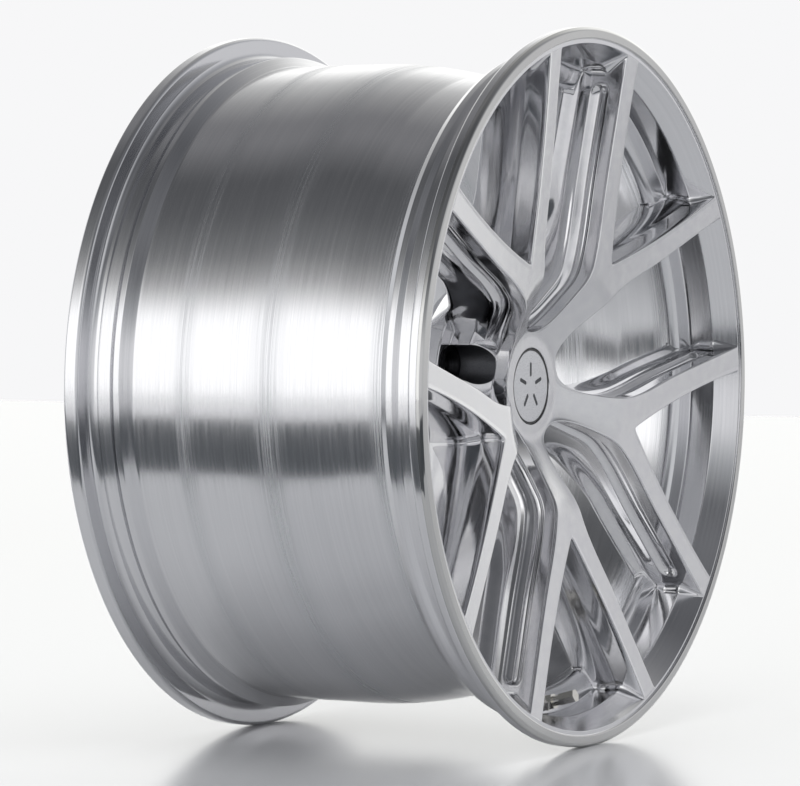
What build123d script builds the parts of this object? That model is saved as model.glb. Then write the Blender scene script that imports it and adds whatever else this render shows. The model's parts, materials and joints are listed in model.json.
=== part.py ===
from build123d import *

import math
import os

# A one-piece forged racing wheel, 20 x 11J, standing on its flanges.
# Millimetres. Y is the wheel axis: the face looks along -Y, the brake side along +Y, and +Z is up.
# The origin is on the axis, halfway across the rim.

# ---------------------------------------------------------------- rim section
bead_seat_radius = 256.4
bead_seat_taper = math.radians(5)
flange_height = 17.5
flange_thickness = 12.5
seat_width = 279.5
flange_corner = 3.0
flange_root = 6.5
hump_height = 2.6
hump_width = 4.5
hump_inset = 21.5
hump_foot = 8.0
rim_wall = 4.5
barrel_radius = 250.0
barrel_bulge = 2.4
well_radius = 238.0
well_width = 43.5
well_ramp = 80.0
well_corner = 1.0
step_inset = 27.75
lip_radius = 251.5
lip_mouth_radius = 261.8
lip_cone_depth = 19.0
lip_ring_radius = 264.8
lip_rebate = 0.6
lip_bend = 3.0
lip_edge_bend = 1.2
inner_bend = 8.0
spoke_root = 2.0

# ---------------------------------------------------------------- rim protector ring
protector_thickness = 1.0
protector_skirt = 5.0
protector_corner = 2.0

# ---------------------------------------------------------------- face and spokes
spoke_count = 5
first_spoke_angle = -90.0
hub_face = -96.0
hub_flat_radius = 42.0
valley_radius = 92.0
valley_depth = 32.0
spoke_end_inset = 1.65
hub_bend = 12.0
valley_bend = 40.0
spoke_draft = math.tan(math.radians(3))
window_side = (
    (42.0, 0.0),
    (44.2, 11.5),
    (52.0, 21.5),
    (65.0, 30.0),
    (84.0, 39.0),
    (110.0, 45.2),
    (150.0, 47.3),
    (200.0, 51.0),
    (268.0, 56.5),
)
fork_radius = 115.0
fork_side = ((178.0, 46.0), (268.0, 98.0))
fork_corner = 2.2
spoke_back = ((84.0, -46.0), (100.0, -66.0), (150.0, -86.0), (235.0, -99.0))
back_bend = 12.0
channel_radius = 8.0
channel_offset = 3.0
channel_depth = 19.0
channel_run = (50.0, 66.0, 88.0, 120.0, 160.0, 200.0, 232.0)
cut_over = 1.0
window_cut_over = 4.0

# ---------------------------------------------------------------- hub
pitch_radius = 57.15
mount_face = -35.0
pad_radius = 77.0
pad_thickness = 19.0
lug_pocket_radius = 15.0
lug_collar_drop = 10.0
lug_collar_flat = 4.0
lug_collar_radius = 64.0
lug_collar_slope = 14.0
hub_bore_radius = 41.0
hub_bore_length = 16.5
core_radius = 27.0
cap_seat_radius = 29.6
cap_seat_depth = 4.0
snap_edge = 6.0
snap_groove_radius = 29.0
snap_groove_width = 5.0
snap_groove_slope = 2.0
pad_recess_radius = 9.0
pad_recess_depth = 8.0

# ---------------------------------------------------------------- lug seat inserts
insert_radius = 12.5
insert_length = 13.0
insert_lip_radius = 14.5
insert_lip = 1.5
insert_gap = 0.02
bolt_hole_radius = 7.5
seat_cone_radius = 11.0
seat_cone_slope = math.tan(math.radians(30))

# ---------------------------------------------------------------- centre cap
cap_gap = 0.3
cap_height = 3.3
cap_rim_width = 1.5
cap_floor = 1.6
emblem_gap = 0.05
emblem_edge = 0.4
mark_depth = 0.4
mark_bars = 5
mark_bar_length = 11.0
mark_bar_width = 3.0
mark_bar_place = 13.0
clip_count = 6
clip_slot = 18.0
clip_thickness = 1.8
clip_length = 12.0
clip_clearance = 0.4
clip_barb = 0.25
clip_barb_length = 2.5
clip_barb_gap = 0.5
clip_foot = 0.8
cap_edge_bend = 0.375
cap_wire_radius = 0.8

# ---------------------------------------------------------------- hub centring ring
centring_bore_radius = 33.3
centring_length = 12.0
centring_gap = 0.03
centring_chamfer = 0.8
clip_wire_radius = 1.0
clip_groove_depth = 1.0
clip_opening = 34.0

# ---------------------------------------------------------------- valve
valve_tilt = math.radians(16)
valve_seat_radius = 243.6
valve_hole_radius = 5.75
valve_shank_radius = 4.0
valve_stem_reach = 24.0
valve_bore_radius = 2.1
valve_foot_radius = 5.9
valve_foot_length = 4.0
grommet_radius = 6.2
grommet_thickness = 2.2
valve_fit = 0.05
spot_depth = 0.3
spot_margin = 0.3
washer_radius = 6.2
washer_thickness = 0.9
nut_flats = 11.0
nut_length = 6.0
valve_cap_flats = 9.0
valve_cap_length = 13.0
valve_cap_wall = 1.1
valve_cap_clearance = 0.12
cap_gasket_thickness = 0.8
core_housing_radius = 2.0
core_housing_bore = 1.35
core_housing_neck = 0.75
core_housing_length = 8.0
core_depth = 2.0
core_neck_length = 2.0
core_pin_radius = 0.5
core_pin_stand = 0.4
core_collar_radius = 1.25
core_collar = 0.5
core_spring_length = 3.2
core_spring_turns = 4
core_spring_radius = 0.98
core_spring_wire = 0.14
core_seal_radius = 1.5
core_seal_length = 1.2

# ---------------------------------------------------------------- worked out
flange_radius = bead_seat_radius + flange_height
rear_seat = seat_width / 2
front_seat = -seat_width / 2
rear = rear_seat + flange_thickness
front = front_seat - flange_thickness
spoke_end_y = front + spoke_end_inset
valley_y = hub_face - valley_depth
seat_end_radius = bead_seat_radius - (hump_inset - hump_width) * math.tan(bead_seat_taper)
hump_radius = seat_end_radius + hump_height
well_inner = well_radius - rim_wall
step_slope = math.tan(valve_tilt)
step_wall = rim_wall / math.cos(valve_tilt)
step_y = front_seat + step_inset
step_foot_y = step_y + (lip_radius - well_inner) * step_slope
well_front = step_y + (lip_radius - well_radius) * step_slope + step_wall
step_head_y = step_y - (seat_end_radius - lip_radius) * step_slope + step_wall
well_rear = well_front + well_width
barrel_start = well_rear + well_ramp
lip_floor = front + lip_cone_depth
ring_seat = front + protector_thickness
pad_face = mount_face - pad_thickness
cap_floor_y = hub_face + cap_seat_depth

spoke_angles = [first_spoke_angle + 360 / spoke_count * n for n in range(spoke_count)]
window_angles = [angle + 180 / spoke_count for angle in spoke_angles]


def face_y(radius):
    """Where the spoke face stands, at a distance from the axis."""
    if radius < hub_flat_radius:
        return hub_face
    if radius < valley_radius:
        return hub_face - valley_depth * (radius - hub_flat_radius) / (valley_radius - hub_flat_radius)
    share = (radius - valley_radius) / (lip_mouth_radius - valley_radius)
    return valley_y + (spoke_end_y - valley_y) * share


def turned(angle):
    """A turn about the wheel axis, from +X towards +Z."""
    return Location((0, 0, 0), (0, -angle, 0))


def corners(vertices, *points):
    """The corners of a sketch that lie at the given points."""
    return [v for v in vertices if any(math.dist((v.X, v.Y), p) < 0.01 for p in points)]


def window_points(grow):
    """One side of the round-ended window, moved outwards by grow."""
    moved = [(window_side[0][0] - grow, 0.0)]
    for before, point, after in zip(window_side, window_side[1:], window_side[2:]):
        along = Vector(after[0] - before[0], after[1] - before[1]).normalized()
        moved.append((point[0] - along.Y * grow, point[1] + along.X * grow))
    moved.append((window_side[-1][0], window_side[-1][1] + grow))
    return moved


def fork_points(grow):
    """One side of the pointed window in a spoke's fork, moved outwards by grow."""
    middle, end = fork_side
    slope = math.atan2(middle[1], middle[0] - fork_radius)
    move = (-math.sin(slope) * grow, math.cos(slope) * grow)
    point = (fork_radius - grow / math.sin(slope), 0.0)
    return [point, (middle[0] + move[0], middle[1] + move[1]), (end[0], end[1] + grow / math.cos(slope))]


def export(piece, name):
    piece.part.label = name
    export_step(piece.part, "parts/" + name + ".step")


os.makedirs("parts", exist_ok=True)

# ================================================================ cutters for the spokes
cut_front = front - window_cut_over
cut_back = mount_face + window_cut_over
front_grow = (hub_face - cut_front) * spoke_draft
back_grow = (hub_face - cut_back) * spoke_draft

with BuildPart() as window_cutter:
    for plane_y, grow in ((cut_front, front_grow), (cut_back, back_grow)):
        side = window_points(grow)
        with BuildSketch(Plane.XZ.offset(-plane_y)):
            with BuildLine():
                Spline([(x, -z) for x, z in reversed(side[1:])] + side)
                Line(side[-1], (side[-1][0], -side[-1][1]))
            make_face()
    loft(ruled=True)

with BuildPart() as fork_cutter:
    for plane_y, grow in ((cut_front, front_grow), (cut_back, back_grow)):
        point, middle, end = fork_points(grow)
        with BuildSketch(Plane.XZ.offset(-plane_y)) as fork_outline:
            with BuildLine():
                ThreePointArc(point, middle, end)
                ThreePointArc(point, (middle[0], -middle[1]), (end[0], -end[1]))
                Line(end, (end[0], -end[1]))
            make_face()
            fillet(fork_outline.vertices().sort_by(Axis.X)[:1], fork_corner)
    loft(ruled=True)

# The milled channel runs along the side wall of each round-ended window, behind the face.
channel_points = []
for place in channel_run:
    side = window_points(0)
    nearest = [n for n in range(len(side) - 1) if side[n][0] <= place][-1]
    low, high = side[nearest], side[nearest + 1]
    across = low[1] + (high[1] - low[1]) * (place - low[0]) / (high[0] - low[0])
    deep = face_y(math.hypot(place, across)) + channel_depth
    grow = (hub_face - deep) * spoke_draft
    channel_points.append((place, deep, across + grow - channel_offset))

with BuildPart() as channel_cutter:
    with BuildLine() as channel_line:
        Spline(*channel_points)
    with BuildSketch(Plane(origin=channel_line.line @ 0, z_dir=channel_line.line % 0)):
        Circle(channel_radius)
    sweep()
    with Locations(channel_points[0], channel_points[-1]):
        Sphere(channel_radius)
    mirror(about=Plane.XY)

# ================================================================ wheel forging
ramp_middle_y = (well_rear + barrel_start) / 2
ramp_middle_radius = (well_radius + barrel_radius) / 2 + barrel_bulge
rear_foot_y = rear_seat - hump_inset - hump_width
front_hump_y = front_seat + hump_inset

with BuildPart() as wheel_forging:
    # Hub and spokes as one turned disc, then the windows and channels milled through it.
    hub_corner = (hub_flat_radius, hub_face)
    valley_corner = (valley_radius, valley_y)
    with BuildSketch(Plane.XY) as disc:
        with BuildLine():
            Polyline(
                (core_radius, hub_face),
                hub_corner,
                valley_corner,
                (lip_mouth_radius, spoke_end_y),
                (lip_mouth_radius - spoke_root, front_seat),
                (lip_radius + spoke_root, lip_floor + spoke_root),
                (lip_radius + spoke_root, step_y + spoke_root / 2),
                (well_inner + spoke_root, step_foot_y + spoke_root / 2),
                *reversed(spoke_back),
                (pad_radius, mount_face),
                (core_radius, mount_face),
                close=True,
            )
        make_face()
        fillet(corners(disc.vertices(), hub_corner), hub_bend)
        fillet(corners(disc.vertices(), valley_corner), valley_bend)
        fillet(corners(disc.vertices(), spoke_back[1], spoke_back[2]), back_bend)
    revolve(axis=Axis.Y)
    for angle in window_angles:
        with Locations(turned(angle)):
            add(window_cutter.part, mode=Mode.SUBTRACT)
            add(channel_cutter.part, mode=Mode.SUBTRACT)
    for angle in spoke_angles:
        with Locations(turned(angle)):
            add(fork_cutter.part, mode=Mode.SUBTRACT)

    # The collar behind the hub face and the pad that bolts to the car.
    collar_top = hub_face + lug_collar_drop
    with BuildSketch(Plane.XY):
        with BuildLine():
            Polyline(
                (core_radius, collar_top),
                (hub_flat_radius + lug_collar_flat, collar_top),
                (lug_collar_radius, collar_top + lug_collar_slope),
                (lug_collar_radius, pad_face),
                (pad_radius, pad_face),
                (pad_radius, mount_face),
                (core_radius, mount_face),
                close=True,
            )
        make_face()
    revolve(axis=Axis.Y)

    # The rim, turned all round.
    rim_corners = {
        "rear_outer": (flange_radius, rear),
        "rear_inner": (flange_radius, rear_seat),
        "rear_root": (bead_seat_radius, rear_seat),
        "rear_foot": (barrel_radius, rear_foot_y - hump_foot),
        "front_root": (bead_seat_radius, front_seat),
        "front_inner": (flange_radius, front_seat),
        "lip_bend": (lip_radius, lip_floor),
        "lip_edge": (lip_radius, step_y),
        "well_foot": (well_radius, well_front),
        "inner_step": (well_inner, step_foot_y),
        "inner_foot": (barrel_radius - rim_wall, rear_foot_y - hump_foot),
        "inner_seat": (lip_radius, rear_foot_y),
        "inner_lip": (lip_radius, rear_seat),
        "protector": (flange_radius - protector_thickness, ring_seat),
    }
    with BuildSketch(Plane.XY) as rim:
        with BuildLine():
            Polyline(
                (barrel_radius, barrel_start),
                rim_corners["rear_foot"],
                (hump_radius, rear_foot_y),
                (hump_radius, rear_foot_y + hump_width),
                (seat_end_radius, rear_foot_y + 2 * hump_width),
                rim_corners["rear_root"],
                rim_corners["rear_inner"],
                rim_corners["rear_outer"],
                (lip_mouth_radius, rear),
                rim_corners["inner_lip"],
                rim_corners["inner_seat"],
                rim_corners["inner_foot"],
                (barrel_radius - rim_wall, barrel_start),
            )
            ThreePointArc(
                (barrel_radius - rim_wall, barrel_start),
                (ramp_middle_radius - rim_wall, ramp_middle_y),
                (well_inner, well_rear),
            )
            Polyline(
                (well_inner, well_rear),
                rim_corners["inner_step"],
                rim_corners["lip_edge"],
                rim_corners["lip_bend"],
                (lip_mouth_radius, ring_seat + lip_rebate),
                (lip_ring_radius, ring_seat + lip_rebate),
                (lip_ring_radius, ring_seat),
                rim_corners["protector"],
                (flange_radius - protector_thickness, front + protector_skirt),
                (flange_radius, front + protector_skirt),
                rim_corners["front_inner"],
                rim_corners["front_root"],
                (seat_end_radius, front_hump_y - hump_width),
                (hump_radius, front_hump_y),
                (hump_radius, front_hump_y + hump_width),
                (seat_end_radius, step_head_y),
                rim_corners["well_foot"],
                (well_radius, well_rear),
            )
            ThreePointArc(
                (well_radius, well_rear),
                (ramp_middle_radius, ramp_middle_y),
                (barrel_radius, barrel_start),
            )
        make_face()
        for radius, names in (
            (flange_corner, ("rear_outer", "rear_inner", "front_inner", "rear_foot")),
            (flange_root, ("rear_root", "front_root")),
            (lip_bend, ("lip_bend",)),
            (lip_edge_bend, ("lip_edge",)),
            (well_corner, ("well_foot",)),
            (inner_bend, ("inner_step", "inner_foot", "inner_seat", "inner_lip")),
            (protector_corner - protector_thickness, ("protector",)),
        ):
            fillet(corners(rim.vertices(), *[rim_corners[name] for name in names]), radius)
    revolve(axis=Axis.Y)

    # Centre bore: cap seat and snap groove from the front, ring seat and clip groove from the back.
    bore_floor = mount_face - hub_bore_length
    snap_y = cap_floor_y + snap_edge
    clip_y = bore_floor + centring_length + clip_wire_radius
    with BuildSketch(Plane.XY):
        with BuildLine():
            Polyline(
                (0, hub_face - cut_over),
                (cap_seat_radius, hub_face - cut_over),
                (cap_seat_radius, cap_floor_y),
                (core_radius, cap_floor_y),
                (core_radius, snap_y),
                (snap_groove_radius, snap_y),
                (snap_groove_radius, snap_y + snap_groove_width),
                (core_radius, snap_y + snap_groove_width + snap_groove_slope),
                (core_radius, bore_floor),
                (hub_bore_radius, bore_floor),
                (hub_bore_radius, clip_y - clip_wire_radius),
                (hub_bore_radius + clip_groove_depth, clip_y),
                (hub_bore_radius, clip_y + clip_wire_radius),
                (hub_bore_radius, mount_face + cut_over),
                (0, mount_face + cut_over),
                close=True,
            )
        make_face()
    revolve(axis=Axis.Y, mode=Mode.SUBTRACT)

    # Lug wells from the front, insert seats and bolt holes, and relief pockets in the pad.
    lug_steps = (
        (lug_pocket_radius, hub_face + cut_over, pad_face),
        (insert_radius, pad_face, pad_face + insert_length),
        (bolt_hole_radius, pad_face, mount_face + cut_over),
    )
    for radius, near, far in lug_steps:
        with BuildSketch(Plane.XZ.offset(-near)):
            with PolarLocations(pitch_radius, spoke_count, start_angle=window_angles[0]):
                Circle(radius)
        extrude(amount=near - far, mode=Mode.SUBTRACT)
    with BuildSketch(Plane.XZ.offset(-mount_face)):
        with PolarLocations(pitch_radius, spoke_count, start_angle=spoke_angles[0]):
            Circle(pad_recess_radius)
    extrude(amount=pad_recess_depth, mode=Mode.SUBTRACT)

    # The valve hole goes square through the step between the lip and the well, from a spot face.
    valve_seat_y = step_y + (lip_radius - valve_seat_radius) * step_slope
    valve_plane = Plane(
        origin=(0, valve_seat_y, -valve_seat_radius),
        x_dir=(1, 0, 0),
        z_dir=(0, -math.cos(valve_tilt), math.sin(valve_tilt)),
    ).offset(-spot_depth)
    with BuildSketch(valve_plane):
        Circle(washer_radius + spot_margin)
    extrude(amount=cut_over, mode=Mode.SUBTRACT)
    with BuildSketch(valve_plane):
        Circle(valve_hole_radius)
    extrude(amount=-2 * rim_wall, mode=Mode.SUBTRACT)

export(wheel_forging, "wheel_forging")

# ================================================================ rim protector ring
with BuildPart() as rim_protector_ring:
    outer_corner = (flange_radius, front)
    inner_corner = (flange_radius - protector_thickness, ring_seat)
    with BuildSketch(Plane.XY) as protector:
        with BuildLine():
            Polyline(
                (lip_ring_radius, front),
                outer_corner,
                (flange_radius, front + protector_skirt),
                (flange_radius - protector_thickness, front + protector_skirt),
                inner_corner,
                (lip_ring_radius, ring_seat),
                close=True,
            )
        make_face()
        fillet(corners(protector.vertices(), outer_corner), protector_corner)
        fillet(corners(protector.vertices(), inner_corner), protector_corner - protector_thickness)
    revolve(axis=Axis.Y)
export(rim_protector_ring, "rim_protector_ring")

# ================================================================ lug seat inserts
insert_head = pad_face - insert_lip
seat_cone_end = insert_head + (seat_cone_radius - bolt_hole_radius) / seat_cone_slope
for number, angle in enumerate(window_angles, start=1):
    across = (pitch_radius * math.cos(math.radians(angle)), pitch_radius * math.sin(math.radians(angle)))
    lug_axis = Axis((across[0], 0, across[1]), (0, 1, 0))
    with BuildPart() as lug_seat_insert:
        with BuildSketch(Plane((across[0], 0, across[1]), x_dir=(1, 0, 0), z_dir=(0, 0, 1))):
            with BuildLine():
                Polyline(
                    (seat_cone_radius, insert_head),
                    (insert_lip_radius, insert_head),
                    (insert_lip_radius, pad_face),
                    (insert_radius - insert_gap, pad_face),
                    (insert_radius - insert_gap, pad_face + insert_length),
                    (bolt_hole_radius, pad_face + insert_length),
                    (bolt_hole_radius, seat_cone_end),
                    close=True,
                )
            make_face()
        revolve(axis=lug_axis)
    export(lug_seat_insert, "lug_seat_insert_" + str(number))

# ================================================================ centre cap
cap_face_y = cap_floor_y - cap_height
cap_radius = cap_seat_radius - cap_gap
emblem_radius = cap_radius - cap_rim_width - emblem_gap
emblem_back = cap_floor_y - cap_floor
emblem_front = cap_face_y
clip_outer = core_radius - clip_clearance
clip_inner = clip_outer - clip_thickness
barb_start = snap_y + clip_barb_gap

with BuildPart() as cap_body:
    with BuildSketch(Plane.XZ.offset(-cap_floor_y)):
        Circle(cap_radius)
    extrude(amount=cap_height)
    fillet(cap_body.faces().sort_by(Axis.Y)[0].edges(), cap_edge_bend)
    with BuildSketch(Plane.XZ.offset(-emblem_back)):
        Circle(emblem_radius + emblem_gap)
    extrude(amount=cap_height, mode=Mode.SUBTRACT)
    with BuildSketch(Plane.XY):
        with BuildLine():
            Polyline(
                (clip_inner, cap_floor_y - clip_foot),
                (clip_outer, cap_floor_y - clip_foot),
                (clip_outer, barb_start),
                (clip_outer + clip_barb, barb_start + clip_barb),
                (clip_outer + clip_barb, barb_start + clip_barb_length),
                (clip_outer - clip_barb, cap_floor_y + clip_length),
                (clip_inner, cap_floor_y + clip_length),
                close=True,
            )
        make_face()
    revolve(axis=Axis.Y)
    with BuildSketch(Plane.XZ.offset(-cap_floor_y)):
        with PolarLocations(clip_outer, clip_count, start_angle=first_spoke_angle + 180 / clip_count):
            Rectangle(clip_thickness * 3, clip_slot)
    extrude(amount=-clip_length - cut_over, mode=Mode.SUBTRACT)
export(cap_body, "cap_body")

with BuildPart() as cap_mark:
    with BuildSketch(Plane.XZ.offset(-emblem_front - mark_depth)):
        with PolarLocations(mark_bar_place, mark_bars, start_angle=first_spoke_angle + 180):
            SlotOverall(mark_bar_length, mark_bar_width)
    extrude(amount=mark_depth)
export(cap_mark, "cap_mark")

with BuildPart() as cap_emblem:
    with BuildSketch(Plane.XZ.offset(-emblem_back)):
        Circle(emblem_radius)
    extrude(amount=emblem_back - emblem_front)
    chamfer(cap_emblem.faces().sort_by(Axis.Y)[0].edges(), emblem_edge)
    add(cap_mark.part, mode=Mode.SUBTRACT)
export(cap_emblem, "cap_emblem")

with BuildPart() as cap_spring_wire:
    wire_path_radius = clip_inner - cap_wire_radius - emblem_gap
    with BuildSketch(Plane.XY):
        with Locations((wire_path_radius, barb_start + clip_barb_length)):
            Circle(cap_wire_radius)
    revolve(axis=Axis.Y)
export(cap_spring_wire, "cap_spring_wire")

# ================================================================ hub centring ring and its clip
ring_front = bore_floor
ring_back = bore_floor + centring_length
with BuildPart() as hub_centring_ring:
    with BuildSketch(Plane.XY) as centring:
        with BuildLine():
            Polyline(
                (centring_bore_radius, ring_front),
                (hub_bore_radius - centring_gap, ring_front),
                (hub_bore_radius - centring_gap, ring_back),
                (centring_bore_radius, ring_back),
                close=True,
            )
        make_face()
        chamfer(corners(centring.vertices(), (centring_bore_radius, ring_back)), centring_chamfer)
    revolve(axis=Axis.Y)
export(hub_centring_ring, "hub_centring_ring")

with BuildPart() as centring_ring_clip:
    with BuildSketch(Plane.XY.rotated((0, clip_opening / 2 - 90, 0))):
        with Locations((hub_bore_radius - centring_gap - clip_wire_radius / 2, clip_y)):
            Circle(clip_wire_radius - centring_gap)
    revolve(axis=Axis.Y, revolution_arc=360 - clip_opening)
export(centring_ring_clip, "centring_ring_clip")

# ================================================================ valve, from the tyre side to the tip
seat_wall = rim_wall - spot_depth
grommet_back = -seat_wall - grommet_thickness
foot_back = grommet_back - valve_foot_length
washer_front = washer_thickness
nut_front = washer_front + nut_length
stem_tip = valve_stem_reach
cap_end_inside = stem_tip + cap_gasket_thickness
cap_tip = cap_end_inside + valve_cap_wall
cap_mouth = cap_tip - valve_cap_length
cap_bore = valve_shank_radius + valve_cap_clearance


def rod(radius, start, end, mode=Mode.ADD):
    """A round length along the valve, between two distances from the rim wall."""
    with BuildSketch(valve_plane.offset(start)) as disc:
        Circle(radius)
    extrude(disc.sketch, amount=end - start, mode=mode)


with BuildPart() as valve_stem:
    rod(valve_foot_radius, foot_back, grommet_back)
    rod(valve_shank_radius, grommet_back, stem_tip)
    rod(valve_bore_radius, foot_back - cut_over, stem_tip + cut_over, Mode.SUBTRACT)
    chamfer(valve_stem.edges().filter_by(GeomType.CIRCLE).sort_by(Axis.Y)[0], cap_gasket_thickness / 2)
export(valve_stem, "valve_stem")

with BuildPart() as valve_grommet:
    rod(grommet_radius, grommet_back, -seat_wall)
    rod(valve_hole_radius - valve_fit, -seat_wall, 0)
    rod(valve_shank_radius + valve_fit, grommet_back - cut_over, cut_over, Mode.SUBTRACT)
export(valve_grommet, "valve_grommet")

with BuildPart() as valve_washer:
    rod(washer_radius, 0, washer_front)
    rod(valve_shank_radius + valve_fit, -cut_over, washer_front + cut_over, Mode.SUBTRACT)
export(valve_washer, "valve_washer")

with BuildPart() as valve_nut:
    with BuildSketch(valve_plane.offset(washer_front)):
        RegularPolygon(nut_flats / 2, 6, major_radius=False)
    extrude(amount=nut_length)
    rod(valve_shank_radius + valve_fit, washer_front - cut_over, nut_front + cut_over, Mode.SUBTRACT)
export(valve_nut, "valve_nut")

with BuildPart() as valve_cap:
    with BuildSketch(valve_plane.offset(cap_mouth)):
        RegularPolygon(valve_cap_flats / 2, 6, major_radius=False)
    extrude(amount=valve_cap_length)
    rod(cap_bore, cap_mouth - cut_over, cap_end_inside, Mode.SUBTRACT)
export(valve_cap, "valve_cap")

with BuildPart() as valve_cap_gasket:
    rod(valve_shank_radius, stem_tip, cap_end_inside)
export(valve_cap_gasket, "valve_cap_gasket")

core_top = stem_tip - core_depth
core_neck = core_top - core_housing_length
core_shelf = core_neck + core_neck_length
with BuildPart() as valve_core_housing:
    rod(core_housing_radius, core_neck, core_top)
    rod(core_housing_bore, core_shelf, core_top + cut_over, Mode.SUBTRACT)
    rod(core_housing_neck, core_neck - cut_over, core_shelf + cut_over, Mode.SUBTRACT)
export(valve_core_housing, "valve_core_housing")

collar_foot = core_shelf + core_spring_length
pin_tip = stem_tip - core_pin_stand
with BuildPart() as valve_core_pin:
    rod(core_pin_radius, core_neck - core_seal_length, pin_tip)
    rod(core_collar_radius, collar_foot, collar_foot + core_collar)
export(valve_core_pin, "valve_core_pin")

with BuildPart() as valve_core_seal:
    rod(core_seal_radius, core_neck - core_seal_length, core_neck)
    rod(core_pin_radius, core_neck - core_seal_length - cut_over, core_neck + cut_over, Mode.SUBTRACT)
export(valve_core_seal, "valve_core_seal")

with BuildPart() as valve_core_spring:
    coil_height = core_spring_length - 3 * core_spring_wire
    coil_base = valve_plane.offset(core_shelf + 1.5 * core_spring_wire)
    coil_pitch = coil_height / core_spring_turns
    with BuildLine() as coil:
        Helix(coil_pitch, coil_height, core_spring_radius, coil_base.origin, coil_base.z_dir)
    with BuildSketch(Plane(origin=coil.line @ 0, z_dir=coil.line % 0)):
        Circle(core_spring_wire)
    sweep()
export(valve_core_spring, "valve_core_spring")
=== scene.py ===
import json
import math

import bmesh
import bpy
import numpy as np
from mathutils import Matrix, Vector


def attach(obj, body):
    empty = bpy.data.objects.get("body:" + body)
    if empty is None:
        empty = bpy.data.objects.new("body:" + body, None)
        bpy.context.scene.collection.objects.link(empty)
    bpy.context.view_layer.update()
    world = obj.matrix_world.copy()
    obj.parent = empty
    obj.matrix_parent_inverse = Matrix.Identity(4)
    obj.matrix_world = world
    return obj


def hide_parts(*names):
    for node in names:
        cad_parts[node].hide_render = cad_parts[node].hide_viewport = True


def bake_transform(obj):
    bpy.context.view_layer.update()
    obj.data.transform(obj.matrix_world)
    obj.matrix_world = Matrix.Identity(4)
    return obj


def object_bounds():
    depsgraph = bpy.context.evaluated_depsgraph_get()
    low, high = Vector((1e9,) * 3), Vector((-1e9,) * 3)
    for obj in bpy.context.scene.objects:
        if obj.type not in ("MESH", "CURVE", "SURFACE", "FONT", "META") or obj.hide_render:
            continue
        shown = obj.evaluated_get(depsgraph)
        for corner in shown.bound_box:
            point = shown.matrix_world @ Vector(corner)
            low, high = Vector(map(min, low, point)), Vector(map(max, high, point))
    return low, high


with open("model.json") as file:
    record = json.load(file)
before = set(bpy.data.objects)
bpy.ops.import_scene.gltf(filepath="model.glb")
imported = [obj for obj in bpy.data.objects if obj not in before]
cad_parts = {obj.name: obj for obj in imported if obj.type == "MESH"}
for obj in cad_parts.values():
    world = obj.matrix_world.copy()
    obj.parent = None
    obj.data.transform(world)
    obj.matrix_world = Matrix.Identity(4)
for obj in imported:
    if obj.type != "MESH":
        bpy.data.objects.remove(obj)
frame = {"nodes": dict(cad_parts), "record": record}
nodes = frame["nodes"]


def corners(box):
    """A box's two corners as plain numbers."""
    return [[float(value) for value in corner] for corner in box]


cad_box = corners(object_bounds())
low, high = (Vector(corner) for corner in cad_box)
mm = 0.001


# ------------------------------------------------------------------ small helpers
def linear(code, alpha=1.0):
    """An sRGB hex colour as linear red, green, blue and alpha."""
    channels = [int(code[start:start + 2], 16) / 255 for start in (1, 3, 5)]
    return [c / 12.92 if c <= 0.04045 else ((c + 0.055) / 1.055) ** 2.4 for c in channels] + [alpha]


def add(tree, kind, settings=None, values=None, links=None):
    """Adds a node: its settings, its constant inputs, and what feeds its inputs."""
    node = tree.nodes.new(kind)
    for key, value in (settings or {}).items():
        setattr(node, key, value)
    for key, value in (values or {}).items():
        node.inputs[key].default_value = value
    for key, source in (links or {}).items():
        tree.links.new(source, node.inputs[key])
    return node


def finish(name, base, metallic, roughness):
    """A new material with one Principled shader, and its node tree."""
    material = bpy.data.materials.new(name)
    material.use_nodes = True
    shader = material.node_tree.nodes["Principled BSDF"]
    shader.inputs["Base Color"].default_value = linear(base)
    shader.inputs["Metallic"].default_value = metallic
    shader.inputs["Roughness"].default_value = roughness
    return material, material.node_tree, shader


# ------------------------------------------------------------------ camera
eye = Vector((-2.6639, -1.4882, 0.0937))
look = Vector((0.8697, 0.4925, -0.0329))
camera_data = bpy.data.cameras.new("camera")
camera_data.sensor_width = 36
camera_data.lens = 175.79
camera_data.clip_end = 50
camera = bpy.data.objects.new("camera", camera_data)
bpy.context.scene.collection.objects.link(camera)
camera.location = eye
camera.rotation_euler = look.to_track_quat("-Z", "Y").to_euler()
bpy.context.scene.camera = camera
bpy.context.scene.view_settings.view_transform = "Standard"

# ------------------------------------------------------------------ studio
world = bpy.data.worlds.new("studio")
bpy.context.scene.world = world
world.use_nodes = True
tree = world.node_tree
tree.nodes.clear()
direction = add(tree, "ShaderNodeTexCoord")
parts = add(tree, "ShaderNodeSeparateXYZ", links={0: direction.outputs["Generated"]})
left = add(tree, "ShaderNodeMath", {"operation": "MULTIPLY"}, {1: -1.0}, {0: parts.outputs["X"]})
around = add(tree, "ShaderNodeMath", {"operation": "ARCTAN2"},
             links={0: parts.outputs["Z"], 1: left.outputs[0]})
turn = add(tree, "ShaderNodeMapRange", values={1: -math.pi, 2: math.pi}, links={0: around.outputs[0]})

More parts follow.
